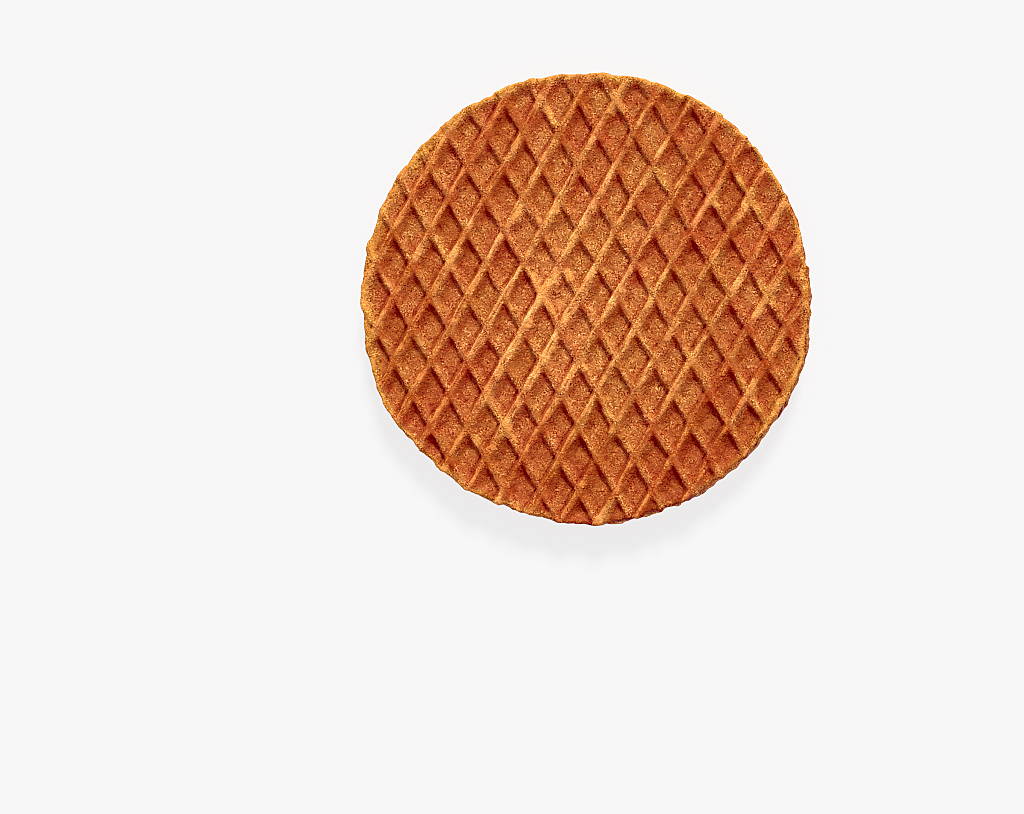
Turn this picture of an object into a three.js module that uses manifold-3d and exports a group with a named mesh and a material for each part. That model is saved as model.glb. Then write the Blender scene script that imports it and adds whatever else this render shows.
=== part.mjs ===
// A syrup waffle cookie: two thin round wafers with a lattice of diamond pockets pressed into their outer
// faces, and between them a layer of caramel syrup that wells out in places along the rim.
// Millimetres, +Z up. The cookie lies flat. The origin is under its middle, level with its lowest ridges.

import * as THREE from "three";
import { mergeVertices } from "three/addons/utils/BufferGeometryUtils.js";
import Module from "manifold-3d";

// Whole cookie
const COOKIE_DIAMETER = 100;
const WAFER_THICKNESS = 3; // from the syrup to the tops of the ridges
const SYRUP_THICKNESS = 1;

// Lattice of ridges and pockets
const RIDGE_SPACING = 7.19; // square to the ridges
const RIDGE_ANGLE = THREE.MathUtils.degToRad(60); // of both sets of ridges, each way from the X axis
const RIDGE_TOP_WIDTH = 0.8;
const POCKET_DEPTH = 1.35;
const POCKET_WALL_RUN = 1.2; // how far a pocket narrows on each side from its mouth to its floor
const CROSSING = new THREE.Vector2(-0.8, 0.57); // the crossing of two ridges nearest the middle
const LATTICE_SKEW = -0.15; // how far the rows of pockets climb from the middle to the right rim
const ROW_FAN = 0.66; // how far the rows close up towards the right rim
const COLUMN_FAN = 0.28; // how far the columns spread towards the upper rim
const POCKET_DRIFT = 0.12; // the most that a pocket sits off its place, along X and along Y
const POCKET_SPREAD = 0.05; // share by which pockets are larger or smaller than the usual one
const POCKET_SEED = 7;

// Rim
const RIM_STEPS = 72;
const RIM_ROUNDING = 0.9; // radius of the outer edge
const RIM_UNDERCUT = 0.35; // how far the edge beside the syrup stands back
const RIM_BULGE_HEIGHT = 0.8; // height above the syrup where the wafer is widest
const RIM_FADE = 3; // width of the border in which the pockets get shallower
const RIM_POCKET_DEPTH = 0.4; // depth of a pocket that runs out through the rim
const RIM_WAVES = [
  { count: 3, reach: 0.16, phase: 2.7 },
  { count: 4, reach: 0.1, phase: -2.6 },
  { count: 5, reach: 0.16, phase: 1.2 },
  { count: 6, reach: 0.14, phase: 1.9 },
  { count: 10, reach: 0.09, phase: 2.8 },
  { count: 11, reach: 0.08, phase: -1.9 },
];

// Lower wafer, as it was laid back on the syrup
const LOWER_TURN = THREE.MathUtils.degToRad(4);
const LOWER_SHIFT = new THREE.Vector2(0.35, -0.25);

// Syrup along the rim
const SYRUP_INSET = 0.9; // how far the syrup usually stays back from the rim
const SYRUP_EDGE = 0.3; // rounding of its edge
const SYRUP_LOBES = [
  { angle: 14, spread: 4, reach: 1.1 },
  { angle: 26, spread: 4, reach: 1.3 },
  { angle: 83, spread: 4, reach: 1.2 },
  { angle: 150, spread: 5, reach: 1.0 },
  { angle: 218, spread: 6, reach: 1.0 },
  { angle: 272, spread: 4, reach: 1.2 },
  { angle: 299, spread: 4, reach: 1.4 },
  { angle: 329, spread: 7, reach: 1.8 },
];

const OVERCUT = 0.5; // how far a cutting shape stands past the face that it cuts
const RADIUS = COOKIE_DIAMETER / 2;
const CELL_HALF_WIDTH = RIDGE_SPACING / (2 * Math.sin(RIDGE_ANGLE));
const CELL_HALF_HEIGHT = RIDGE_SPACING / (2 * Math.cos(RIDGE_ANGLE));

const wasm = await Module();
wasm.setup();

// A closed geometry as a solid that can be joined and cut
function solidOf(geometry) {
  const bare = geometry.clone();
  bare.deleteAttribute("normal");
  bare.deleteAttribute("uv");
  const merged = mergeVertices(bare, 1e-4);
  const corners = merged.index.array;
  const kept = [];
  for (let i = 0; i < corners.length; i += 3) {
    const [a, b, c] = corners.subarray(i, i + 3);
    if (a !== b && b !== c && c !== a) kept.push(a, b, c);
  }
  return new wasm.Manifold(
    new wasm.Mesh({
      numProp: 3,
      vertProperties: merged.attributes.position.array,
      triVerts: new Uint32Array(kept),
    }),
  );
}

function geometryOf(solid) {
  const mesh = solid.getMesh();
  const geometry = new THREE.BufferGeometry();
  geometry.setAttribute("position", new THREE.BufferAttribute(mesh.vertProperties, 3));
  geometry.setIndex(new THREE.BufferAttribute(mesh.triVerts, 1));
  geometry.computeVertexNormals();
  return geometry;
}

// Evenly spread numbers from 0 to 1, the same on every run
function seededRandom(seed) {
  let state = seed;
  return () => {
    state = (Math.imul(state, 1664525) + 1013904223) >>> 0;
    return state / 2 ** 32;
  };
}

// A profile of [radius, height] points turned round the Z axis
function turned(profile, steps) {
  const points = profile.map(([radius, height]) => new THREE.Vector2(radius, height));
  return new THREE.LatheGeometry(points, steps).rotateX(Math.PI / 2);
}

// Moves every point of a round geometry along its radius, so that its outline follows radiusAt(angle)
function reshapeOutline(geometry, radiusAt) {
  const position = geometry.attributes.position;
  for (let i = 0; i < position.count; i++) {
    const x = position.getX(i);
    const y = position.getY(i);
    const share = radiusAt(Math.atan2(y, x)) / RADIUS;
    position.setXY(i, x * share, y * share);
  }
  return geometry;
}

function waferRadius(angle) {
  return RIM_WAVES.reduce(
    (radius, wave) => radius + wave.reach * Math.cos(wave.count * angle + wave.phase),
    RADIUS,
  );
}

function syrupRadius(angle) {
  const lobes = SYRUP_LOBES.map((lobe) => {
    const centre = THREE.MathUtils.degToRad(lobe.angle);
    const away = THREE.MathUtils.radToDeg(Math.acos(Math.cos(angle - centre)));
    return lobe.reach * Math.exp(-((away / lobe.spread) ** 2));
  });
  return waferRadius(angle) - SYRUP_INSET + Math.max(...lobes);
}

// Plain wafer with its split face at Z 0 and a rounded outer edge
function waferBlank() {
  const edge = new THREE.EllipseCurve(
    RADIUS - RIM_ROUNDING,
    WAFER_THICKNESS - RIM_ROUNDING,
    RIM_ROUNDING,
    RIM_ROUNDING,
    0,
    Math.PI / 2,
  );
  const profile = [
    [0, 0],
    [RADIUS - RIM_UNDERCUT, 0],
    [RADIUS, RIM_BULGE_HEIGHT],
    ...edge.getPoints(3).map((point) => [point.x, point.y]),
    [0, WAFER_THICKNESS],
  ];
  return solidOf(reshapeOutline(turned(profile, RIM_STEPS), waferRadius));
}

// One pocket about the Z axis, its mouth level with Z 0: a four-sided dish with leaning walls
function pocketGeometry() {
  const share = (inset) => 1 - (RIDGE_TOP_WIDTH + 2 * inset) / RIDGE_SPACING;
  const flare = (OVERCUT * POCKET_WALL_RUN) / POCKET_DEPTH;
  const profile = [
    [0, -POCKET_DEPTH],
    [share(POCKET_WALL_RUN), -POCKET_DEPTH],
    [share(-flare), OVERCUT],
    [0, OVERCUT],
  ];
  return turned(profile, 4).scale(CELL_HALF_WIDTH, CELL_HALF_HEIGHT, 1);
}

// A place in the lattice, whose rows are a little uneven: ridges cross where row plus column is even,
// and pockets stand where it is odd
function latticePlace(row, column) {
  const x = CROSSING.x + column * CELL_HALF_WIDTH;
  const y = CROSSING.y + row * CELL_HALF_HEIGHT;
  const climb = LATTICE_SKEW - (ROW_FAN * y) / RADIUS;
  const spread = (COLUMN_FAN * y) / RADIUS;
  return new THREE.Vector2(x + (spread * x) / RADIUS, y + (climb * x) / RADIUS);
}

// Every pocket of the lattice that reaches onto the wafer, joined into one cutting shape
function pockets() {
  const random = seededRandom(POCKET_SEED);
  const around = (spread) => spread * (2 * random() - 1);
  const columns = Math.ceil(RADIUS / CELL_HALF_WIDTH);
  const rows = Math.ceil(RADIUS / CELL_HALF_HEIGHT);
  const pocket = pocketGeometry();
  const cuts = [];
  for (let row = -rows; row <= rows; row++) {
    for (let column = -columns; column <= columns; column++) {
      const centre = latticePlace(row, column);
      const isPocket = (row + column) % 2 !== 0;
      if (!isPocket || centre.length() > RADIUS) continue;
      const size = 1 + around(POCKET_SPREAD);
      const x = centre.x + around(POCKET_DRIFT);
      const y = centre.y + around(POCKET_DRIFT);
      cuts.push(solidOf(pocket.clone().scale(size, size, 1).translate(x, y, WAFER_THICKNESS)));
    }
  }
  return wasm.Manifold.union(cuts);
}

// The space in which pockets are cut: full depth inside the border, rising to a shallow step at the rim
function pocketSpace() {
  const deepest = WAFER_THICKNESS - POCKET_DEPTH - OVERCUT;
  const shallowest = WAFER_THICKNESS - RIM_POCKET_DEPTH;
  const profile = [
    [0, deepest],
    [RADIUS - RIM_FADE, deepest],
    [RADIUS, shallowest],
    [RADIUS + RIM_FADE, shallowest],
    [RADIUS + RIM_FADE, WAFER_THICKNESS + 2 * OVERCUT],
    [0, WAFER_THICKNESS + 2 * OVERCUT],
  ];
  return solidOf(turned(profile, RIM_STEPS / 2));
}

function waferGeometry() {
  return geometryOf(waferBlank().subtract(pockets().intersect(pocketSpace())));
}

function syrupGeometry() {
  const profile = [
    [0, 0],
    [RADIUS - SYRUP_EDGE, 0],
    [RADIUS, SYRUP_EDGE],
    [RADIUS, SYRUP_THICKNESS - SYRUP_EDGE],
    [RADIUS - SYRUP_EDGE, SYRUP_THICKNESS],
    [0, SYRUP_THICKNESS],
  ];
  return geometryOf(solidOf(reshapeOutline(turned(profile, 2 * RIM_STEPS), syrupRadius)));
}

const baked = new THREE.MeshStandardMaterial({ color: 0xc98442, roughness: 0.75, metalness: 0 });
const caramel = new THREE.MeshStandardMaterial({ color: 0x5e2a10, roughness: 0.25, metalness: 0 });

const wafer = waferGeometry();

const lowerWafer = new THREE.Mesh(wafer, baked);
lowerWafer.name = "wafer_bottom";
lowerWafer.scale.z = -1; // its lattice faces down
lowerWafer.rotation.z = LOWER_TURN;
lowerWafer.position.set(LOWER_SHIFT.x, LOWER_SHIFT.y, WAFER_THICKNESS);

const syrup = new THREE.Mesh(syrupGeometry(), caramel);
syrup.name = "syrup_layer";
syrup.position.z = WAFER_THICKNESS;

const upperWafer = new THREE.Mesh(wafer, baked);
upperWafer.name = "wafer_top";
upperWafer.position.z = WAFER_THICKNESS + SYRUP_THICKNESS;

const cookie = new THREE.Group();
cookie.add(lowerWafer, syrup, upperWafer);

export default cookie;
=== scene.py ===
"""A syrup waffle cookie lying flat: two baked wafers with a diamond lattice, and caramel syrup between them.

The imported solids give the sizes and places. This script gives crust, crumb and syrup their real surface.
Shapes are worked out in millimetres, in the frame of the solids, and turned into metres as meshes are made.
"""

import math

import bpy
import numpy as np
from mathutils import Matrix, Vector


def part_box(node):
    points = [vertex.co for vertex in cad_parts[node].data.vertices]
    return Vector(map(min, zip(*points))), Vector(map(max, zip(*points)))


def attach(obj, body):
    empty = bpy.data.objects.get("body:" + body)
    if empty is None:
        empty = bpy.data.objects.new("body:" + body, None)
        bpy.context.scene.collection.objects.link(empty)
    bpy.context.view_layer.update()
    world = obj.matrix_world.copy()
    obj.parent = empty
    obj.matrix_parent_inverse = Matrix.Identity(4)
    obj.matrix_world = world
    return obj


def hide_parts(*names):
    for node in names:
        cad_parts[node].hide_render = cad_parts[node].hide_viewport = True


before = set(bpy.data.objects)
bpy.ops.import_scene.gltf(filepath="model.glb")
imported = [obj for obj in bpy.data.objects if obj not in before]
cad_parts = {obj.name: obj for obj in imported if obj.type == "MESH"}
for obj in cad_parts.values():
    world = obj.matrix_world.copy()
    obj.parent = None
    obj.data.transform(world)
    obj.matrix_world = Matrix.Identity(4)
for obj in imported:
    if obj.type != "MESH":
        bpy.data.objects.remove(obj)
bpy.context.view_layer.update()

MM = 0.001

# Heights of the three layers, from the solids
WAFER_BASE, WAFER_CROWN = (corner[2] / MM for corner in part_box("wafer_top"))
SYRUP_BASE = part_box("syrup_layer")[0][2] / MM
WAFER_THICKNESS = WAFER_CROWN - WAFER_BASE
SYRUP_THICKNESS = WAFER_BASE - SYRUP_BASE

# Noise is given in layers, each with its strength, the width of its waves in millimetres and its seed.
# Patches are given by the two levels of a noise between which they set in, its width and its seed.
NOISE_TURN = 0.7  # how far the axes of a noise are turned, in radians
NOISE_TURN_STEP = 1.9  # how much further with each seed
POINT_SHIFT = 0.45  # how far a strewn point lies off the middle of its cell at most, in cells

# Lattice of ridges and pockets, near to that of the solids
RADIUS = 50.0
RIDGE_SPACING = 7.19
RIDGE_ANGLE = math.radians(60)
CROSSING = (-0.93, 0.86)
LATTICE_SKEW = -0.15
ROW_FAN = 0.66
COLUMN_FAN = 0.28
SWAY_X = ((0.18, 6, 21), (0.12, 1.7, 22))
SWAY_Y = ((0.18, 6, 23), (0.12, 1.7, 24))
CELL_HALF_WIDTH = RIDGE_SPACING / (2 * math.sin(RIDGE_ANGLE))
CELL_HALF_HEIGHT = RIDGE_SPACING / (2 * math.cos(RIDGE_ANGLE))

# Ridges as the iron left them: one set rises and one set falls to the right. For the lower and the upper
# side of each: half of its level top where that is narrowest and where it is widest, and the run of its wall
RISING_RIDGE = ((0.30, 1.90, 2.1), (0.20, 0.40, 0.6))
FALLING_RIDGE = ((0.35, 0.75, 0.75), (0.10, 0.40, 1.3))
RIDGE_WIDTH_WAVES = 8
RISING_WIDTH_SEED = 101
FALLING_WIDTH_SEED = 111
RIDGE_RAGGEDNESS = ((0.12, 1.2, 27),)
TOASTED_NARROWING = 0.5  # share of its extra width that a rising ridge loses at the toasted border
FALLING_DROP = 0.3  # share of its height that a falling ridge loses towards the lower right of each pocket
RIDGE_WEAR = 0.08  # share of its height that a ridge loses where it is worn
LOWER_RIGHT_WEAR = 0.15  # the same, added at the lower right of the cookie
RISING_WORN = (0, 0.8, 6, 32)
FALLING_WORN = (0, 0.8, 6, 34)

# Pockets: their depth, and shares by which it varies from one to the next, within one and over the cookie
POCKET_DEPTH = 1.35
DEPTH_AT_FOOT = 0.65
DEPTH_SPREAD = 0.1
DEPTH_SEED = 121
LEFTWARD_DEEPENING = 0.5
RIGHTWARD_DEEPENING = 0.2
UPWARD_SHALLOWING = 0.12

# Blisters, grain and pits
BLISTERS = ((0.09, 2.4, 41), (0.06, 1.1, 42))
GRAIN_RELIEF = ((0.05, 0.5, 43),)
RIDGE_SMOOTHNESS = 0.6  # share of the blisters and pits that the ridges lack
PIT_SPACING = 1.0
PIT_SEED = 51
PIT_LEVEL = 0  # strewn points whose own number is above this are pits
PIT_WALL = (0.1, 0.45)  # from the middle of a pit to the foot and to the top of its wall
PIT_DEPTH = 0.14

# Crevices along the upper foot of the rising ridges, and splits beside their crests.
# Both end where a falling ridge crosses them.
RIDGE_FOOT = 1.05
FOOT_BROKEN = (-0.6, 0.2, 5, 53)
FOOT_CREVICE_WIDTH = 0.3
CREST_BROKEN = (0.1, 0.5, 4, 54)
SPLIT_PLACE = -0.3
SPLIT_WANDER = ((0.4, 6, 55),)
SPLIT_WIDTH = 0.25
SPLIT_SHARE = 0.5  # how deep a split is, as a share of a crevice
CREVICE_DEPTH = 0.35
CREVICE_END = (0.5, 0.9)

# Streaks lengthwise on the ridges, and flakes that have come off them
STREAK_LENGTH = 3.0
STREAK_SLIMNESS = 6
STREAK_HEIGHT = 0.08
RISING_STREAK_SEED = 56
FALLING_STREAK_SEED = 57
FLAKED = (0.4, 0.7, 6, 58)
FLAKED_RIDGE = (0.2, 0.9)

# The iron left the middle pale, and the border and the lower part darker
PALE_CENTRE = (0.5, 3.0)
PALE_RADIUS = 6.0
TOASTED_RADIUS = 44.0
BORDER_TOAST = 0.75
LOWER_TOAST = 0.5
LOWER_TOAST_START = 0.2  # how far below the middle it starts, as a share of the radius
TOAST_CLOUDS = ((0.2, 15, 25), (0.2, 6, 26))

# Browning, from 0 for the palest crumb to 1 for the darkest crust.
# Pairs hold that of the pale middle and that of the toasted border.
FLOOR_BROWNING = (0.62, 0.80)
RISING_CREST_BROWNING = (0.21, 0.42)
FALLING_CREST_BROWNING = (0.43, 0.54)
CREST_TOAST_LIMIT = 0.8  # rising crests are toasted no more than this
UPPER_RIGHT_CREST_DARKENING = 1.6  # falling crests are this much browner at the upper right, as a share between their middle and border browning
RIM_BROWNING = 0.33
CRUMB_BROWNING = 0.05
# A wafer's side: its crumb colour, darkened further as painted shade
SIDE_BROWNING_AND_SHADE = 0.4

# Palest line of a crest, and how far the paleness reaches below and above it
RISING_CREST = (0.1, 1.4, 0.85)
FALLING_CREST = (0.25, 0.9, 1.9)
RISING_CREST_TOP = (0.7, 1.0)  # shares of a ridge's height between which its crest sets in
RISING_CREST_PALENESS = (0.4, 1.0)  # far from its palest line and on it

# How much browner the crust is in places, some of it as painted shade. Facets are the walls below the rising
# ridges, which face away from the light and get painted shade: their first value holds at the upper left of
# the cookie and their second at the lower right.
POCKET_TONE_SPREAD = 0.1
POCKET_TONE_SEED = 131
CORNER_PAINTED_SHADOW = 0.42  # painted shadow in the upper corner of a pocket, under a falling ridge, which sets in between the places that follow
CORNER_LEFTWARD = (0.3, 0.9)
CORNER_RIGHTWARD = (0.55, 0.85)
BARE_RIM_BROWNING = 0.15
FACET_PAINTED_SHADE = (0.25, -0.05)
CROSSING_BROWNING = 0.2
# Painted shade in pits, and below it in crevices and splits
PIT_PAINTED_SHADE = 0.12
CREVICE_PAINTED_SHADE = 0.4

# How much paler it is in places
POCKET_MIDDLE_PALING = 0.1
RISING_STREAK_PALING = 0.2
FALLING_STREAK_PALING = 0.15
FLAKE_PALING = 0.2

# How golden and how red it is in places
BORDER_GOLD = 0.9
FLAKE_GOLD = 0.5
# Painted shade: red on the facets, the walls below the rising ridges, which face away from the light
FACET_PAINTED_SHADE_RED = 0.4
FACET_FOOT = 0.25  # share of a ridge's height over which the red sets in at the foot of a facet
FACET_TOP = 0.2  # and goes at its top
CREST_RED = 1.2
CREST_RED_TOAST = (0.3, 0.9)

# Rim of a wafer, near to that of the solids. Waves round it are given by their count, reach and phase
RIM_ROUNDING = 0.6
RIM_UNDERCUT = 0.35
RIM_BULGE_HEIGHT = 0.8
RIM_WAVES = (
    (3, 0.16, 2.7),
    (4, 0.10, -2.6),
    (5, 0.16, 1.2),
    (6, 0.14, 1.9),
    (10, 0.09, 2.8),
    (11, 0.08, -1.9),
)

# Ragged outline of the rim, notched, and scalloped where pockets run out through it
RIM_RAGGEDNESS = ((0.18, 3.1, 11), (0.2, 1.2, 12))
RIM_NOTCHED = (0.45, 0.8, 2.2, 13)
NOTCH_DEPTH = 0.3
SCALLOP_DEPTH = 0.27
SCALLOP_SIDE = (0.06, 0.3)  # from the middle of a ridge, in ridge spacings

# Pockets get shallower towards the rim: how far off it this ends, its width, its wandering, the depth left
RIM_LEVEL = 0.5
RIM_FADE = 3.0
RIM_FADE_WANDER = ((0.8, 5, 35),)
RIM_POCKET_DEPTH = 0.55

# Golden border of the rim: its usual width, the places where it is wider, as angle and spread in degrees and
# width in millimetres, and the place where there is none
BORDER_WIDTH = 1.1
WIDE_BORDERS = ((115, 35, 0.6), (172, 32, 1.5), (330, 16, 0.9))
BORDER_FADE = (0.2, 1.7)  # in widths of the border
BORDER_WANDER = ((0.5, 3, 61), (0.3, 1.1, 62))
BARE_RIM = 283
BARE_RIM_SPREAD = 26

# Broken crumb of a wafer's side, with painted shade in its pores, and the stretch of it that is browner, in
# degrees
SIDE_INSET = 0.12
SIDE_ROUGHNESS = ((0.16, 1.4, 71), (0.1, 0.6, 72))
PORE_SPACING = 1.3
PORE_SEED = 73
PORE_LEVEL = -0.2  # strewn points whose own number is above this are pores
PORE_WALL = (0.15, 0.5)  # from the middle of a pore to the foot and to the top of its wall
PORE_DEPTH = 0.35
PORE_PAINTED_SHADE = 0.35
ROUGH_BROWNING = 0.4
DARK_SIDE = 25
DARK_SIDE_SPREAD = 30
DARK_SIDE_BROWNING = 0.3

# Lower wafer, as it was laid back on the syrup
LOWER_TURN = math.radians(4)
LOWER_SHIFT = (0.35, -0.25)

# Syrup along the rim: angle and spread in degrees, reach in millimetres
SYRUP_INSET = 0.9
SYRUP_BULGE = 0.5
SYRUP_WANDER = ((0.15, 1.5, 81),)
SYRUP_LOBES = (
    (14, 4, 1.1),
    (26, 4, 1.3),
    (83, 4, 1.2),
    (150, 5, 1.0),
    (218, 6, 1.0),
    (272, 4, 1.2),
    (299, 4, 1.3),
    (316, 3.5, 1.35),
    (330, 4, 1.3),
)

# Mesh fineness: steps from ridge to ridge, how far they crowd towards the ridges, reach of the grid in
# radii, how many steps inside the rim a point has to be, rings down the side, steps and rings of the
# syrup's edge
UPPER_STEPS = 25
LOWER_STEPS = 18
CROWDING = 0.4
GRID_REACH = 1.2
RIM_CLEARANCE = 0.5
SIDE_RINGS = 9
SYRUP_STEPS = 1440
SYRUP_RINGS = 8

# View: the cookie's middle in the picture, in pixels, and how the camera stands to it
IMAGE_SIZE = (1024, 814)
COOKIE_PIXEL = (581.7, 298.0)
PIXELS_PER_MM = 4.527
CAMERA_DISTANCE = 500.0
CAMERA_FROM_RIGHT = math.radians(7)
CAMERA_FROM_BELOW = math.radians(2.5)
SENSOR_WIDTH = 36.0
DISPLAY_GAMMA = 2.2
BLACK_LEVEL = (0.0, 0.028, 0.005)
PIXEL_FILTER_WIDTH = 1.0


# Numbers that vary smoothly or scatter, the same on every run

def seeded_table(seed, count=256):
    return np.random.default_rng(seed).uniform(-1, 1, (count, count))


def turned(x, y, seed):
    """The same points in axes turned by an angle of their own, so that grids of noise don't line up."""
    angle = NOISE_TURN + NOISE_TURN_STEP * seed
    return x * math.cos(angle) - y * math.sin(angle), x * math.sin(angle) + y * math.cos(angle)


def smooth_noise(x, y, size, seed):
    """Numbers from -1 to 1 that rise and fall about once in every size millimetres."""
    table = seeded_table(seed)
    u, v = (axis / size for axis in turned(x, y, seed))
    column, row = np.floor(u).astype(int), np.floor(v).astype(int)
    across, up = (part * part * (3 - 2 * part) for part in (u - column, v - row))
    left, right = column % len(table), (column + 1) % len(table)
    low, high = row % len(table), (row + 1) % len(table)
    bottom = table[left, low] * (1 - across) + table[right, low] * across
    top = table[left, high] * (1 - across) + table[right, high] * across
    return bottom * (1 - up) + top * up


def scattered(x, y, size, seed):
    """Distance to the nearest of points about size millimetres apart, and that point's own number."""
    shift_x, shift_y, own = (seeded_table(seed + k) for k in range(3))
    u, v = (axis / size for axis in turned(x, y, seed))
    column, row = np.floor(u).astype(int), np.floor(v).astype(int)
    nearest = np.full(np.shape(x), np.inf)
    number = np.zeros(np.shape(x))
    for step_u in (-1, 0, 1):
        for step_v in (-1, 0, 1):
            i, j = (column + step_u) % len(own), (row + step_v) % len(own)
            away_u = column + step_u + 0.5 + POINT_SHIFT * shift_x[i, j] - u
            away_v = row + step_v + 0.5 + POINT_SHIFT * shift_y[i, j] - v
            distance = np.hypot(away_u, away_v)
            closer = distance < nearest
            nearest = np.where(closer, distance, nearest)
            number = np.where(closer, own[i, j], number)
    return nearest * size, number


def smoothstep(low, high, value):
    share = np.clip((value - low) / (high - low), 0, 1)
    return share * share * (3 - 2 * share)


def between(ends, share):
    return ends[0] + (ends[1] - ends[0]) * share


def hump(share):
    """1 in the middle of a span and 0 at both of its ends."""
    return 4 * share * (1 - share)


def layered(x, y, layers):
    """Sum of layers of noise."""
    return sum(strength * smooth_noise(x, y, size, seed) for strength, size, seed in layers)


def patches(x, y, levels):
    """1 in patches and 0 between them."""
    low, high, size, seed = levels
    return smoothstep(low, high, smooth_noise(x, y, size, seed))


# The lattice and the rim of a wafer

def bend(x, y):
    """How far the lattice lies off its even places, along X and along Y."""
    climb = LATTICE_SKEW - ROW_FAN * y / RADIUS
    return COLUMN_FAN * x * y / RADIUS**2, climb * x / RADIUS


def lattice_coordinates(x, y):
    """Places across rising and falling ridges, in ridge spacings: ridges run along whole numbers."""
    bend_x, bend_y = bend(x, y)
    across = (x - bend_x - CROSSING[0]) / (2 * CELL_HALF_WIDTH)
    along = (y - bend_y - CROSSING[1]) / (2 * CELL_HALF_HEIGHT)
    return along - across, along + across


def off_ridge(place):
    """How far a place is above the nearest ridge or, below 0, under it, in ridge spacings."""
    return place - np.round(place)


def degrees_away(angle, centre):
    return np.degrees(np.arccos(np.clip(np.cos(angle - math.radians(centre)), -1, 1)))


def lobe(angle, centre, spread):
    """1 at an angle round the rim, falling to 0 to both sides of it."""
    return np.exp(-((degrees_away(angle, centre) / spread) ** 2))


def rim_radius(angle):
    smooth = RADIUS + sum(reach * np.cos(count * angle + phase) for count, reach, phase in RIM_WAVES)
    x, y = RADIUS * np.cos(angle), RADIUS * np.sin(angle)
    from_ridge = np.min([np.abs(off_ridge(place)) for place in lattice_coordinates(x, y)], axis=0)
    scallop = smoothstep(*SCALLOP_SIDE, from_ridge)
    ragged = layered(x, y, RIM_RAGGEDNESS) - NOTCH_DEPTH * patches(x, y, RIM_NOTCHED)
    return smooth + ragged - SCALLOP_DEPTH * scallop


def toasting(x, y):
    """About 0 where the iron left the crust palest, 1 or more where it browned it most."""
    radial = smoothstep(PALE_RADIUS, TOASTED_RADIUS, np.hypot(x - PALE_CENTRE[0], y - PALE_CENTRE[1]))
    lower = smoothstep(LOWER_TOAST_START, 1, -y / RADIUS)
    return BORDER_TOAST * radial + LOWER_TOAST * lower + layered(x, y, TOAST_CLOUDS)


def pocket_number(pocket, seed):
    """A number from -1 to 1 of each pocket's own."""
    table = seeded_table(seed)
    row, column = (place.astype(int) % len(table) for place in pocket)
    return table[row, column]


def ridge_share(x, y, distance, sides, narrowing, seed):
    """1 on top of the ridges of one set, 0 on the floors beside them. Their width varies along them."""
    ragged = layered(x, y, RIDGE_RAGGEDNESS)
    share = np.zeros_like(distance)
    for side, (narrowest, widest, run) in enumerate(sides):
        wideness = 0.5 + 0.5 * smooth_noise(x, y, RIDGE_WIDTH_WAVES, seed + side)
        top = narrowest + (widest - narrowest) * wideness * (1 - narrowing) + ragged
        here = (distance > 0) == (side == 1)
        share = np.where(here, np.clip(1 - (np.abs(distance) - top) / run, 0, 1), share)
    return share


def peak_share(distance, peak, lower, upper):
    """1 where a ridge is palest, falling evenly to 0 at a distance below and a distance above."""
    away = distance - peak
    return np.clip(1 - np.where(away < 0, -away / lower, away / upper), 0, 1)


def ridge_streaks(off, along, seed):
    """Numbers from -1 to 1 that vary slowly along the ridges of one set and fast across them."""
    return smooth_noise(STREAK_SLIMNESS * off, along * RIDGE_SPACING, STREAK_LENGTH, seed)


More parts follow.
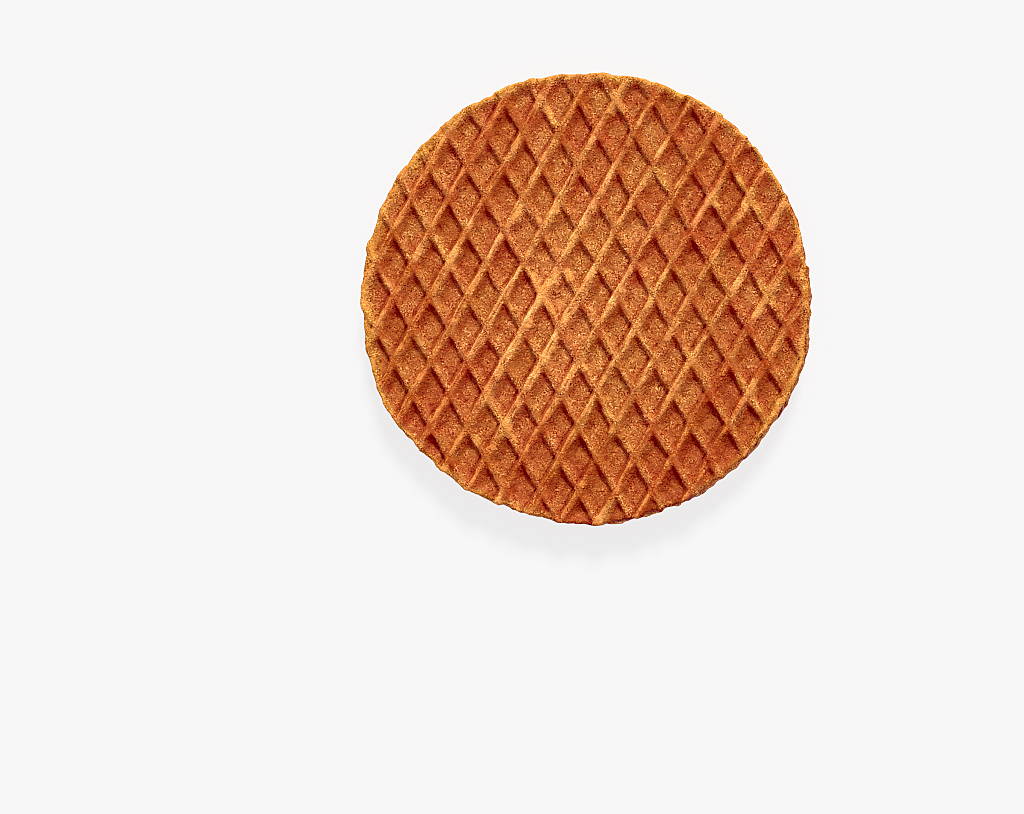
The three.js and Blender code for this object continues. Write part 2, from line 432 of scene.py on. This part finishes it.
class Crust:
    """The outer face of a wafer at given points: what lies where on it, its height and its colours."""

    def __init__(self, x, y):
        self.x = x
        self.y = y
        self.angle = np.arctan2(y, x)
        self.rim_distance = rim_radius(self.angle) - np.hypot(x, y)
        fade_distance = self.rim_distance + layered(x, y, RIM_FADE_WANDER)
        self.inward = smoothstep(RIM_LEVEL, RIM_LEVEL + RIM_FADE, fade_distance)
        self.bare_rim = lobe(self.angle, BARE_RIM, BARE_RIM_SPREAD)
        self.toast = toasting(x, y)
        self.lower_right = smoothstep(0, 1, (x - y) / RADIUS)
        self.upper_right = smoothstep(0, 1, (x + y) / RADIUS)

        # Pocket of each point, how far up in it to the left and to the right, and how far off the ridges
        places = lattice_coordinates(x + layered(x, y, SWAY_X), y + layered(x, y, SWAY_Y))
        self.pocket = [np.floor(place) for place in places]
        self.leftward, self.rightward = (place - low for place, low in zip(places, self.pocket))
        self.off_rising, self.off_falling = (off_ridge(place) * RIDGE_SPACING for place in places)

        self.rising, self.falling = self.worn_ridges()
        self.ridge = 1 - (1 - self.rising) * (1 - self.falling)
        self.rising_crest = smoothstep(*RISING_CREST_TOP, self.rising)
        self.rising_crest *= between(RISING_CREST_PALENESS, peak_share(self.off_rising, *RISING_CREST))
        self.falling_crest = peak_share(self.off_falling, *FALLING_CREST)
        self.rising_streak = ridge_streaks(self.off_rising, places[1], RISING_STREAK_SEED)
        self.falling_streak = ridge_streaks(self.off_falling, places[0], FALLING_STREAK_SEED)
        self.flake = patches(x, y, FLAKED) * smoothstep(*FLAKED_RIDGE, self.ridge)
        self.pit = self.pits()
        self.crevice = self.crevices()
        self.gold = self.gilding()

    def worn_ridges(self):
        """The rising and the falling ridges, worn down in places and most of all at the lower right."""
        x, y = self.x, self.y
        narrowing = TOASTED_NARROWING * np.clip(self.toast, 0, 1)
        rising = ridge_share(x, y, self.off_rising, RISING_RIDGE, narrowing, RISING_WIDTH_SEED)
        falling = ridge_share(x, y, self.off_falling, FALLING_RIDGE, 0, FALLING_WIDTH_SEED)
        wear = RIDGE_WEAR + LOWER_RIGHT_WEAR * self.lower_right
        rising *= 1 - wear * patches(x, y, RISING_WORN)
        falling *= 1 - wear * patches(x, y, FALLING_WORN)
        falling *= 1 - FALLING_DROP * (1 - self.leftward) ** 2
        return rising, falling

    def pits(self):
        distance, number = scattered(self.x, self.y, PIT_SPACING, PIT_SEED)
        pit = (number > PIT_LEVEL) * (1 - smoothstep(*PIT_WALL, distance))
        return pit * (1 - RIDGE_SMOOTHNESS * self.ridge)

    def crevices(self):
        x, y = self.x, self.y
        off_foot = np.abs(self.off_rising - RIDGE_FOOT)
        foot = patches(x, y, FOOT_BROKEN) * (1 - smoothstep(0, FOOT_CREVICE_WIDTH, off_foot))
        off_split = np.abs(self.off_rising - SPLIT_PLACE - layered(x, y, SPLIT_WANDER))
        split = patches(x, y, CREST_BROKEN) * (1 - smoothstep(0, SPLIT_WIDTH, off_split))
        return np.maximum(foot, SPLIT_SHARE * split) * (1 - smoothstep(*CREVICE_END, self.falling))

    def depth(self):
        """Depth of the pockets, which are deepest at their upper corner and shallower towards the rim."""
        share = DEPTH_AT_FOOT + DEPTH_SPREAD * pocket_number(self.pocket, DEPTH_SEED)
        share += LEFTWARD_DEEPENING * self.leftward + RIGHTWARD_DEEPENING * self.rightward
        share -= UPWARD_SHALLOWING * self.y / RADIUS
        return between((RIM_POCKET_DEPTH, POCKET_DEPTH), self.inward) * share

    def height(self):
        """Height of the face above the wafer's split face."""
        height = WAFER_THICKNESS - self.depth() * (1 - self.ridge)
        height += (1 - RIDGE_SMOOTHNESS * self.ridge) * layered(self.x, self.y, BLISTERS)
        height += layered(self.x, self.y, GRAIN_RELIEF)
        height -= PIT_DEPTH * self.pit + CREVICE_DEPTH * self.crevice
        height += STREAK_HEIGHT * (self.rising * self.rising_streak + self.falling * self.falling_streak)
        edge = np.clip(1 - self.rim_distance / RIM_ROUNDING, 0, 1)
        height -= RIM_ROUNDING * (1 - np.sqrt(1 - edge * edge))
        return np.minimum(height, WAFER_THICKNESS)

    def gilding(self):
        """How golden the crust is, from 0 to 1: along the rim, and where flakes have come off the ridges."""
        border = np.full_like(self.x, BORDER_WIDTH)
        for centre, spread, width in WIDE_BORDERS:
            border += width * lobe(self.angle, centre, spread)
        near, far = (share * border for share in BORDER_FADE)
        along_rim = 1 - smoothstep(near, far, self.rim_distance + layered(self.x, self.y, BORDER_WANDER))
        return np.maximum(BORDER_GOLD * along_rim * (1 - self.bare_rim), FLAKE_GOLD * self.flake)

    def browning_and_shade(self):
        """How brown the crust is, about from 0 to 1, painted shade on facets, pocket corners, pits and
        crevices included.
        """
        left, right, rising = self.leftward, self.rightward, self.rising
        middle = hump(left) * hump(right)
        corner = smoothstep(*CORNER_LEFTWARD, left) * smoothstep(*CORNER_RIGHTWARD, right)
        shaded_facet = np.where(self.off_rising < 0, rising * (1 - rising), 0)
        browning_and_shade = between(FLOOR_BROWNING, self.toast) - POCKET_MIDDLE_PALING * middle
        browning_and_shade += POCKET_TONE_SPREAD * pocket_number(self.pocket, POCKET_TONE_SEED)
        # Painted shadow in the upper corner of each pocket
        browning_and_shade += CORNER_PAINTED_SHADOW * corner * (1 - self.ridge)
        browning_and_shade += BARE_RIM_BROWNING * self.bare_rim * (1 - self.inward)
        # Painted shade on the facets below the rising ridges, which face away from the light
        browning_and_shade += between(FACET_PAINTED_SHADE, self.lower_right) * shaded_facet

        falling_toast = self.toast + UPPER_RIGHT_CREST_DARKENING * self.upper_right
        falling_browning = between(FALLING_CREST_BROWNING, falling_toast)
        falling_browning -= FALLING_STREAK_PALING * self.falling_streak
        browning_and_shade = between((browning_and_shade, falling_browning), self.falling_crest)
        rising_browning = between(RISING_CREST_BROWNING, np.minimum(self.toast, CREST_TOAST_LIMIT))
        rising_browning -= RISING_STREAK_PALING * self.rising_streak
        browning_and_shade = between((browning_and_shade, rising_browning), self.rising_crest)

        browning_and_shade += CROSSING_BROWNING * rising * self.falling
        # Painted shade in pits and crevices; flakes are paler
        browning_and_shade += PIT_PAINTED_SHADE * self.pit + CREVICE_PAINTED_SHADE * self.crevice - FLAKE_PALING * self.flake
        return between((browning_and_shade, RIM_BROWNING), self.gold)

    def golden(self):
        """How golden the crust is or, below 0, how red: on the facets, as painted shade, and on toasted
        crests.
        """
        wall = smoothstep(0, FACET_FOOT, self.rising) * smoothstep(0, FACET_TOP, 1 - self.rising)
        red = FACET_PAINTED_SHADE_RED * np.where(self.off_rising < 0, wall, 0)
        red += CREST_RED * self.rising_crest * smoothstep(*CREST_RED_TOAST, self.toast)
        return self.gold - red * (1 - self.gold)


# Meshes

def lattice_grid(steps):
    """Grid of points that follows the lattice, and its triangles seen from above."""
    half = math.ceil(GRID_REACH * steps * RADIUS / RIDGE_SPACING)
    even = np.arange(-half, half + 1) / steps
    marks = even - CROWDING * np.sin(2 * math.pi * even) / (2 * math.pi)
    place_a, place_b = np.meshgrid(marks, marks, indexing="ij")
    x = CROSSING[0] + (place_b - place_a) * CELL_HALF_WIDTH
    y = CROSSING[1] + (place_b + place_a) * CELL_HALF_HEIGHT
    bend_x, bend_y = bend(x, y)
    x, y = x + bend_x, y + bend_y
    index = np.arange(x.size).reshape(x.shape)
    near, far_a = index[:-1, :-1].ravel(), index[1:, :-1].ravel()
    far_b, opposite = index[:-1, 1:].ravel(), index[1:, 1:].ravel()
    triangles = np.concatenate([
        np.stack([near, far_b, far_a], axis=1),
        np.stack([far_b, opposite, far_a], axis=1),
    ])
    return x.ravel(), y.ravel(), triangles


def boundary_loop(triangles):
    """The points round the open edge of a surface, in order."""
    starts = triangles.ravel()
    ends = np.roll(triangles, -1, axis=1).ravel()
    low, high = np.minimum(starts, ends), np.maximum(starts, ends)
    _, first, count = np.unique(low * (high.max() + 1) + high, return_index=True, return_counts=True)
    onward = {int(starts[i]): int(ends[i]) for i in first[count == 1]}
    loop = [next(iter(onward))]
    while onward[loop[-1]] != loop[0]:
        loop.append(onward[loop[-1]])
    return np.array(loop)


def even_angles(angles, rounds=30):
    """Angles round a loop, moved until they are spaced about evenly."""
    angles = np.unwrap(angles)
    for _ in range(rounds):
        before = np.concatenate([[angles[-1] - 2 * math.pi], angles[:-1]])
        after = np.concatenate([angles[1:], [angles[0] + 2 * math.pi]])
        angles = (before + 2 * angles + after) / 4
    return angles


def clipped_face(steps):
    """Points and triangles of the lattice grid cut to the wafer's rim, and the loop of points on the rim."""
    x, y, triangles = lattice_grid(steps)
    inside = np.hypot(x, y) < rim_radius(np.arctan2(y, x)) - RIM_CLEARANCE * RIDGE_SPACING / steps
    triangles = triangles[inside[triangles].any(axis=1)]
    used, triangles = np.unique(triangles, return_inverse=True)
    triangles = triangles.reshape(-1, 3)
    x, y = x[used], y[used]
    loop = boundary_loop(triangles)
    angles = even_angles(np.arctan2(y[loop], x[loop]))
    x[loop] = rim_radius(angles) * np.cos(angles)
    y[loop] = rim_radius(angles) * np.sin(angles)
    return x, y, triangles, loop, angles


def strip(upper, lower):
    """Triangles between two closed loops of equally many points, facing out if these run anticlockwise."""
    upper_next, lower_next = np.roll(upper, -1), np.roll(lower, -1)
    return np.concatenate([
        np.stack([upper, lower, upper_next], axis=1),
        np.stack([upper_next, lower, lower_next], axis=1),
    ])


def side_wall(angles, crown):
    """Rings of points from under the rim's rounding down to the split face, rough as broken crumb."""
    rings = []
    dark = lobe(angles, DARK_SIDE, DARK_SIDE_SPREAD)
    along = RADIUS * angles
    for ring in range(1, SIDE_RINGS + 1):
        height = crown * (1 - ring / SIDE_RINGS)
        tuck = RIM_UNDERCUT * (1 - smoothstep(0, RIM_BULGE_HEIGHT, height))
        rough = layered(along, height, SIDE_ROUGHNESS)
        pore_distance, pore_number = scattered(along, height, PORE_SPACING, PORE_SEED)
        pore = (pore_number > PORE_LEVEL) * (1 - smoothstep(*PORE_WALL, pore_distance))
        radius = rim_radius(angles) - tuck - SIDE_INSET + rough - PORE_DEPTH * pore
        # The side's darkness is partly its crumb colour and partly painted shade; its pores get painted
        # shade
        browning_and_shade = SIDE_BROWNING_AND_SHADE + PORE_PAINTED_SHADE * pore + ROUGH_BROWNING * rough + DARK_SIDE_BROWNING * dark
        rings.append((radius * np.cos(angles), radius * np.sin(angles), height, browning_and_shade))
    return rings


def make_object(name, points, triangles, shares, material):
    mesh = bpy.data.meshes.new(name)
    mesh.from_pydata((points * MM).tolist(), [], triangles.tolist())
    mesh.polygons.foreach_set("use_smooth", np.ones(len(mesh.polygons), dtype=bool))
    for share, values in shares.items():
        mesh.attributes.new(share, "FLOAT", "POINT").data.foreach_set("value", values.astype(np.float32))
    mesh.materials.append(material)
    mesh.update()
    piece = bpy.data.objects.new(name, mesh)
    bpy.context.collection.objects.link(piece)
    return piece


def wafer_surface(steps):
    """A whole wafer with its split face at height 0 and its lattice up."""
    x, y, triangles, loop, angles = clipped_face(steps)
    face = Crust(x, y)
    height = face.height()
    points = [np.stack([x, y, height], axis=1)]
    brownings = [face.browning_and_shade()]
    faces = [triangles]
    count = len(x)
    upper = loop
    for ring_x, ring_y, ring_height, ring_browning in side_wall(angles, height[loop]):
        lower = np.arange(count, count + len(loop))
        points.append(np.stack([ring_x, ring_y, ring_height], axis=1))
        brownings.append(ring_browning)
        faces.append(strip(upper, lower))
        upper = lower
        count += len(loop)
    points.append(np.zeros((1, 3)))
    brownings.append(np.array([CRUMB_BROWNING]))
    faces.append(np.stack([np.roll(upper, -1), upper, np.full(len(upper), count)], axis=1))
    points, brownings = np.concatenate(points), np.concatenate(brownings)
    golden = np.pad(face.golden(), (0, len(points) - len(x)))
    return points, np.concatenate(faces), {"browning_and_shade": brownings, "golden": golden}


def upper_wafer(material):
    points, triangles, shares = wafer_surface(UPPER_STEPS)
    points[:, 2] += WAFER_BASE
    return make_object("crust_upper", points, triangles, shares, material)


def lower_wafer(material):
    points, triangles, shares = wafer_surface(LOWER_STEPS)
    turn = np.array([
        [math.cos(LOWER_TURN), math.sin(LOWER_TURN)],
        [-math.sin(LOWER_TURN), math.cos(LOWER_TURN)],
    ])
    points[:, :2] = points[:, :2] @ turn + LOWER_SHIFT
    points[:, 2] = SYRUP_BASE - points[:, 2]
    return make_object("crust_lower", points, triangles[:, ::-1], shares, material)


def syrup_radius(angle):
    welling = np.zeros_like(angle)
    for centre, spread, reach in SYRUP_LOBES:
        welling = np.maximum(welling, reach * lobe(angle, centre, spread))
    along = RADIUS * angle
    return rim_radius(angle) - SYRUP_INSET + welling + layered(along, np.zeros_like(along), SYRUP_WANDER)


def syrup_layer(material):
    """The caramel between the wafers, with a rounded edge that wells out in lobes."""
    angles = np.arange(SYRUP_STEPS) * 2 * math.pi / SYRUP_STEPS
    radius = syrup_radius(angles)
    points = [np.array([[0, 0, WAFER_BASE]])]
    count = 1
    loops = []
    for ring in range(SYRUP_RINGS + 1):
        turn = math.pi * ring / SYRUP_RINGS
        ring_radius = radius - SYRUP_BULGE + SYRUP_BULGE * math.sin(turn)
        height = np.full(SYRUP_STEPS, WAFER_BASE - SYRUP_THICKNESS * (1 - math.cos(turn)) / 2)
        ring_x, ring_y = ring_radius * np.cos(angles), ring_radius * np.sin(angles)
        points.append(np.stack([ring_x, ring_y, height], axis=1))
        loops.append(np.arange(count, count + SYRUP_STEPS))
        count += SYRUP_STEPS
    points.append(np.array([[0, 0, SYRUP_BASE]]))
    top_centre, bottom_centre = np.zeros(SYRUP_STEPS, dtype=int), np.full(SYRUP_STEPS, count)
    faces = [np.stack([loops[0], np.roll(loops[0], -1), top_centre], axis=1)]
    for upper, lower in zip(loops, loops[1:]):
        faces.append(strip(upper, lower))
    faces.append(np.stack([np.roll(loops[-1], -1), loops[-1], bottom_centre], axis=1))
    return make_object("caramel", np.concatenate(points), np.concatenate(faces), {}, material)


# Materials

class Nodes:
    """Short calls for building one material's node tree."""

    def __init__(self, material):
        material.use_nodes = True
        self.tree = material.node_tree
        self.tree.nodes.clear()
        self.shader = self.tree.nodes.new("ShaderNodeBsdfPrincipled")
        output = self.tree.nodes.new("ShaderNodeOutputMaterial")
        self.tree.links.new(self.shader.outputs["BSDF"], output.inputs["Surface"])
        self.place = self.tree.nodes.new("ShaderNodeTexCoord").outputs["Object"]

    def feed(self, socket, value):
        """Joins a node's result to a socket, or sets the socket to a plain value."""
        if isinstance(value, bpy.types.NodeSocket):
            self.tree.links.new(value, socket)
        else:
            socket.default_value = value

    def share(self, name):
        """One of the numbers that the mesh holds for each of its points."""
        node = self.tree.nodes.new("ShaderNodeAttribute")
        node.attribute_name = name
        return node.outputs["Fac"]

    def noise(self, size_mm, detail=2.0, roughness=0.5):
        node = self.tree.nodes.new("ShaderNodeTexNoise")
        self.feed(node.inputs["Vector"], self.place)
        node.inputs["Scale"].default_value = 1 / (size_mm * MM)
        node.inputs["Detail"].default_value = detail
        node.inputs["Roughness"].default_value = roughness
        return node.outputs[0]

    def ranged(self, value, span, ends=(0.0, 1.0)):
        """From the first of two ends to the second, smoothly, as a value crosses a span."""
        node = self.tree.nodes.new("ShaderNodeMapRange")
        node.interpolation_type = "SMOOTHSTEP"
        names = ("Value", "From Min", "From Max", "To Min", "To Max")
        for name, given in zip(names, (value, *span, *ends)):
            self.feed(node.inputs[name], given)
        return node.outputs["Result"]

    def math(self, operation, *values):
        node = self.tree.nodes.new("ShaderNodeMath")
        node.operation = operation
        for socket, value in zip(node.inputs, values):
            self.feed(socket, value)
        return node.outputs[0]

    def mixed(self, share, first, second):
        """A colour between two, by the colour sockets of a mix node."""
        node = self.tree.nodes.new("ShaderNodeMix")
        node.data_type = "RGBA"
        self.feed(node.inputs[0], share)
        self.feed(node.inputs[6], first)
        self.feed(node.inputs[7], second)
        return node.outputs[2]

    def hued(self, colour, hue, saturation):
        """The colour turned by how far the hue is from 0.5, and deeper where the saturation is over 1."""
        node = self.tree.nodes.new("ShaderNodeHueSaturation")
        self.feed(node.inputs["Color"], colour)
        self.feed(node.inputs["Hue"], hue)
        self.feed(node.inputs["Saturation"], saturation)
        return node.outputs["Color"]

    def gamma(self, colour, power):
        node = self.tree.nodes.new("ShaderNodeGamma")
        node.inputs["Gamma"].default_value = power
        self.feed(node.inputs["Color"], colour)
        return node.outputs["Color"]

    def lightened(self, colour, amount):
        """The colour with its three parts, as they are seen, raised or lowered alike."""
        node = self.tree.nodes.new("ShaderNodeBrightContrast")
        self.feed(node.inputs["Color"], self.gamma(colour, 1 / DISPLAY_GAMMA))
        self.feed(node.inputs["Bright"], amount)
        return self.gamma(node.outputs["Color"], DISPLAY_GAMMA)

    def ramp(self, value, colours):
        """Colours spaced evenly from a value of 0 to a value of 1."""
        node = self.tree.nodes.new("ShaderNodeValToRGB")
        self.feed(node.inputs["Fac"], value)
        stops = node.color_ramp.elements
        while len(stops) < len(colours):
            stops.new(0.5)
        for place, (stop, colour) in enumerate(zip(stops, colours)):
            stop.position = place / (len(colours) - 1)
            stop.color = colour
        return node.outputs["Color"]

    def bump(self, height, depth_mm, normal=None):
        node = self.tree.nodes.new("ShaderNodeBump")
        node.inputs["Distance"].default_value = depth_mm * MM
        self.feed(node.inputs["Height"], height)
        if normal is not None:
            self.feed(node.inputs["Normal"], normal)
        return node.outputs["Normal"]


# Spans that hold most of a noise node's results
NOISE_SPAN = (0.3, 0.7)
NARROW_NOISE_SPAN = (0.35, 0.65)

# Crust: colours from the palest crumb to the darkest crust
BROWNING_COLOURS = (
    (0.95, 0.585, 0.195, 1),
    (0.95, 0.365, 0.100, 1),
    (0.55, 0.195, 0.046, 1),
    (0.47, 0.122, 0.025, 1),
    (0.33, 0.07, 0.013, 1),
)
CLOUD_SIZE = 2.6
CLOUD_BROWNING = 0.12
HUE_PATCH_SIZE = 9
HUES = (0.497, 0.504)
SATURATIONS = (0.97, 1.03)
GOLDEN_HUE = 0.008
GOLDEN_SATURATION = 0.03  # for gold and for red alike
CRUST_ROUGHNESS = (0.65, 0.42)
CRUST_SPECULAR = 0.08
LUMP_SIZE = 0.75
LUMP_DEPTH = 0.2

# Grain of the crust: dark and pale specks, how strong they are from the palest crumb to the darkest crust,
# how strong in some patches and in others, and how strong on red and on other crust
GRAIN_SIZE = 0.33
GRAIN_DEPTH = 0.08
GRAIN_SPAN = (0.2, 1.0)
GRAIN_LIGHT = (-0.096, 0.18)
GRAIN_STRENGTHS = (0.9, 0.85, 1.45, 0.95, 0.6)
GRAIN_PATCH_SIZE = 1.2
GRAIN_PATCH_STRENGTHS = (0.45, 1.55)
RED_SPAN = (-0.5, 0)
RED_GRAIN_STRENGTHS = (0.8, 1.03)


def crust_material():
    material = bpy.data.materials.new("baked_wafer")
    nodes = Nodes(material)
    clouds = nodes.noise(CLOUD_SIZE, detail=4, roughness=0.65)
    lumps = nodes.noise(LUMP_SIZE)
    grain = nodes.noise(GRAIN_SIZE, detail=0)
    golden = nodes.share("golden")
    cloudiness = nodes.ranged(clouds, NOISE_SPAN, (CLOUD_BROWNING, -CLOUD_BROWNING))
    browning_and_shade = nodes.math("ADD", nodes.share("browning_and_shade"), cloudiness)
    hue = nodes.ranged(nodes.noise(HUE_PATCH_SIZE), NARROW_NOISE_SPAN, HUES)
    hue = nodes.math("ADD", hue, nodes.math("MULTIPLY", golden, GOLDEN_HUE))
    saturation = nodes.ranged(nodes.noise(GRAIN_SIZE, detail=1), NARROW_NOISE_SPAN, SATURATIONS)
    deeper = nodes.math("MULTIPLY", nodes.math("ABSOLUTE", golden), GOLDEN_SATURATION)
    saturation = nodes.math("ADD", saturation, deeper)
    colour = nodes.hued(nodes.ramp(browning_and_shade, BROWNING_COLOURS), hue, saturation)

    strength = nodes.ranged(nodes.noise(GRAIN_PATCH_SIZE), NARROW_NOISE_SPAN, GRAIN_PATCH_STRENGTHS)
    by_browning = nodes.ramp(browning_and_shade, [(share, share, share, 1) for share in GRAIN_STRENGTHS])
    strength = nodes.math("MULTIPLY", strength, by_browning)
    strength = nodes.math("MULTIPLY", strength, nodes.ranged(golden, RED_SPAN, RED_GRAIN_STRENGTHS))
    light = nodes.ranged(grain, GRAIN_SPAN, GRAIN_LIGHT)
    colour = nodes.lightened(colour, nodes.math("MULTIPLY", light, strength))

    nodes.feed(nodes.shader.inputs["Base Color"], colour)
    nodes.feed(nodes.shader.inputs["Roughness"], nodes.ranged(grain, NOISE_SPAN, CRUST_ROUGHNESS))
    nodes.shader.inputs["Specular IOR Level"].default_value = CRUST_SPECULAR
    normal = nodes.bump(lumps, LUMP_DEPTH)
    nodes.feed(nodes.shader.inputs["Normal"], nodes.bump(grain, GRAIN_DEPTH, normal))
    return material


# Caramel: streaks of two colours, glossy and a little uneven
CARAMEL_COLOURS = ((0.36, 0.07, 0.018, 1), (0.60, 0.19, 0.045, 1))
CARAMEL_STREAK_SIZE = 2.5
CARAMEL_STREAK_SPAN = (0.35, 0.7)
CARAMEL_ROUGHNESS = (0.16, 0.34)
CARAMEL_ROUGHNESS_SIZE = 1.2
CARAMEL_RIPPLE_SIZE = 0.9
CARAMEL_RIPPLE_DEPTH = 0.3
CARAMEL_COAT = 0.4
CARAMEL_COAT_ROUGHNESS = 0.12


def caramel_material():
    material = bpy.data.materials.new("caramel_syrup")
    nodes = Nodes(material)
    streaks = nodes.ranged(nodes.noise(CARAMEL_STREAK_SIZE, detail=3), CARAMEL_STREAK_SPAN)
    roughness = nodes.ranged(nodes.noise(CARAMEL_ROUGHNESS_SIZE), NOISE_SPAN, CARAMEL_ROUGHNESS)
    ripples = nodes.bump(nodes.noise(CARAMEL_RIPPLE_SIZE), CARAMEL_RIPPLE_DEPTH)
    nodes.feed(nodes.shader.inputs["Base Color"], nodes.mixed(streaks, *CARAMEL_COLOURS))
    nodes.feed(nodes.shader.inputs["Roughness"], roughness)
    nodes.feed(nodes.shader.inputs["Normal"], ripples)
    nodes.shader.inputs["Coat Weight"].default_value = CARAMEL_COAT
    nodes.shader.inputs["Coat Roughness"].default_value = CARAMEL_COAT_ROUGHNESS
    return material


# Stage: a grey floor that glows until it looks pale, so that shadows on it stay faint, and a white world
FLOOR_HALF_WIDTH = 3.0  # in metres
FLOOR_COLOUR = (0.15, 0.15, 0.15, 1)
FLOOR_GLOW = 0.77
FLOOR_ROUGHNESS = 0.9
FLOOR_SPECULAR = 0.1
WHITE = (1, 1, 1, 1)
WORLD_STRENGTH = 0.45


def floor_material():
    material = bpy.data.materials.new("pale_floor")
    nodes = Nodes(material)
    nodes.shader.inputs["Base Color"].default_value = FLOOR_COLOUR
    nodes.shader.inputs["Roughness"].default_value = FLOOR_ROUGHNESS
    nodes.shader.inputs["Specular IOR Level"].default_value = FLOOR_SPECULAR
    nodes.shader.inputs["Emission Color"].default_value = WHITE
    nodes.shader.inputs["Emission Strength"].default_value = FLOOR_GLOW
    return material


def add_floor():
    half = FLOOR_HALF_WIDTH
    mesh = bpy.data.meshes.new("floor")
    corners = [(-half, -half, 0), (half, -half, 0), (half, half, 0), (-half, half, 0)]
    mesh.from_pydata(corners, [], [(0, 1, 2, 3)])
    mesh.materials.append(floor_material())
    floor = bpy.data.objects.new("floor", mesh)
    bpy.context.collection.objects.link(floor)


def add_key_light(azimuth, elevation, strength, spread):
    """A large soft light far off, so that all of the cookie is lit alike. Angles in degrees."""
    light = bpy.data.lights.new("key", "SUN")
    light.energy = strength
    light.angle = math.radians(spread)
    key = bpy.data.objects.new("key", light)
    level = math.cos(math.radians(elevation))
    towards = Vector((
        level * math.cos(math.radians(azimuth)),
        level * math.sin(math.radians(azimuth)),
        math.sin(math.radians(elevation)),
    ))
    key.location = towards
    key.rotation_euler = towards.to_track_quat("Z", "Y").to_euler()
    bpy.context.collection.objects.link(key)


def set_world():
    world = bpy.data.worlds.new("studio")
    world.use_nodes = True
    background = world.node_tree.nodes["Background"]
    background.inputs["Color"].default_value = WHITE
    background.inputs["Strength"].default_value = WORLD_STRENGTH
    bpy.context.scene.world = world


def add_camera(target):
    """A camera above the cookie, a little to its right and below it, aimed to show it at its pixel."""
    focal_pixels = PIXELS_PER_MM * CAMERA_DISTANCE
    camera = bpy.data.cameras.new("camera")
    camera.sensor_width = SENSOR_WIDTH
    camera.lens = focal_pixels / IMAGE_SIZE[0] * SENSOR_WIDTH
    holder = bpy.data.objects.new("camera", camera)
    bpy.context.collection.objects.link(holder)
    away = Vector((
        math.sin(CAMERA_FROM_RIGHT) * math.cos(CAMERA_FROM_BELOW),
        -math.sin(CAMERA_FROM_BELOW),
        math.cos(CAMERA_FROM_RIGHT) * math.cos(CAMERA_FROM_BELOW),
    ))
    right = Vector((0, 1, 0)).cross(away).normalized()
    facing = Matrix((right, away.cross(right), away)).transposed()
    seen = Vector((
        (COOKIE_PIXEL[0] - IMAGE_SIZE[0] / 2) / focal_pixels,
        (IMAGE_SIZE[1] / 2 - COOKIE_PIXEL[1]) / focal_pixels,
        -1,
    ))
    aim = seen.rotation_difference(Vector((0, 0, -1))).to_matrix()
    place = Matrix.Translation(target + CAMERA_DISTANCE * MM * away)
    holder.matrix_world = place @ (facing @ aim).to_4x4()
    bpy.context.scene.camera = holder


def set_tones():
    """Plain colours with a raised black point, as in a crisp studio picture."""
    view = bpy.context.scene.view_settings
    view.view_transform = "Standard"
    view.use_curve_mapping = True
    view.curve_mapping.black_level = BLACK_LEVEL
    view.curve_mapping.update()
    bpy.context.scene.cycles.use_denoising = False
    bpy.context.scene.cycles.filter_width = PIXEL_FILTER_WIDTH


def add_sharpening(share, radius):
    """Crisp detail, as a camera gives it: what a blur would lose is added to the picture as it is seen."""
    scene = bpy.context.scene
    scene.use_nodes = True
    tree = scene.node_tree
    tree.nodes.clear()
    layers = tree.nodes.new("CompositorNodeRLayers")
    seen = tree.nodes.new("CompositorNodeGamma")
    seen.inputs["Gamma"].default_value = 1 / DISPLAY_GAMMA
    blurred = tree.nodes.new("CompositorNodeBlur")
    blurred.filter_type = "GAUSS"
    blurred.size_x = radius
    blurred.size_y = radius
    lost = tree.nodes.new("CompositorNodeMixRGB")
    lost.blend_type = "SUBTRACT"
    sharpened = tree.nodes.new("CompositorNodeMixRGB")
    sharpened.blend_type = "ADD"
    sharpened.inputs["Fac"].default_value = share
    back = tree.nodes.new("CompositorNodeGamma")
    back.inputs["Gamma"].default_value = DISPLAY_GAMMA
    picture = tree.nodes.new("CompositorNodeComposite")
    links = (
        (layers, seen.inputs["Image"]),
        (seen, blurred.inputs["Image"]),
        (seen, lost.inputs[1]),
        (blurred, lost.inputs[2]),
        (seen, sharpened.inputs[1]),
        (lost, sharpened.inputs[2]),
        (sharpened, back.inputs["Image"]),
        (back, picture.inputs["Image"]),
    )
    for node, socket in links:
        tree.links.new(node.outputs["Image"], socket)


def main():
    crust_finish = crust_material()
    pieces = (
        (upper_wafer(crust_finish), "wafer_top", "wafer"),
        (lower_wafer(crust_finish), "wafer_bottom", "wafer"),
        (syrup_layer(caramel_material()), "syrup_layer", "syrup"),
    )
    for piece, node, slot in pieces:
        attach(piece, "root")
        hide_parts(node)
    crown = Vector((0, 0, WAFER_CROWN * MM))
    add_floor()
    add_key_light(azimuth=80, elevation=37, strength=3.15, spread=16)
    set_world()
    add_camera(crown)
    set_tones()
    add_sharpening(share=0.8, radius=3)


main()
